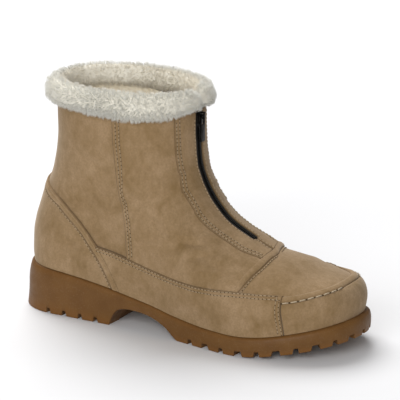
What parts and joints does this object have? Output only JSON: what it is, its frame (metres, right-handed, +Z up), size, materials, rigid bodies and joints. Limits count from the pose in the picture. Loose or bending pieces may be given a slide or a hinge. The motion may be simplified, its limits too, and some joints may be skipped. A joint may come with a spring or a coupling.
{
  "type": "ankle boot",
  "caption": "Suede ankle boot with a rolled fur collar, front zip, moccasin toe, overlay panels and a moulded rubber sole with a heel block and notched tread",
  "frame": {"origin": "middle of the heel's tread, on the floor", "axes": "+X to the toe, +Y to the inner side of the foot, +Z up"},
  "size_m": [0.2832, 0.1054, 0.1848],
  "materials": {
    "sole_rubber": "satin brown gum rubber",
    "lining": "beige felt",
    "suede": "tan suede with a short nap",
    "fur": "cream curly fur",
    "zip_tape": "black woven tape and moulded teeth",
    "zip_metal": "dark lacquered metal"
  },
  "bodies": {
    "boot": {"outsole": "sole_rubber", "insole": "lining", "upper": "suede", "quarter_outer": "suede", "quarter_inner": "suede", "foxing_outer": "suede", "foxing_inner": "suede", "heel_counter": "suede", "heel_strip": "suede", "toe_cap": "suede", "toe_rim": "suede", "vamp_band": "suede", "zip_facing": "suede", "fur_cuff": "fur", "zip_tape": "zip_tape", "zip_chain": "zip_tape", "zip_slider": "zip_metal"},
    "pull": {"zip_pull": "zip_metal"}
  },
  "joints": [
    {"name": "pull_swing", "type": "hinge", "parent": "boot", "child": "pull", "pos_m": [0.10801, 0, 0.16352], "axis": [0, -1, 0], "range_deg": [0, 100]}
  ]
}
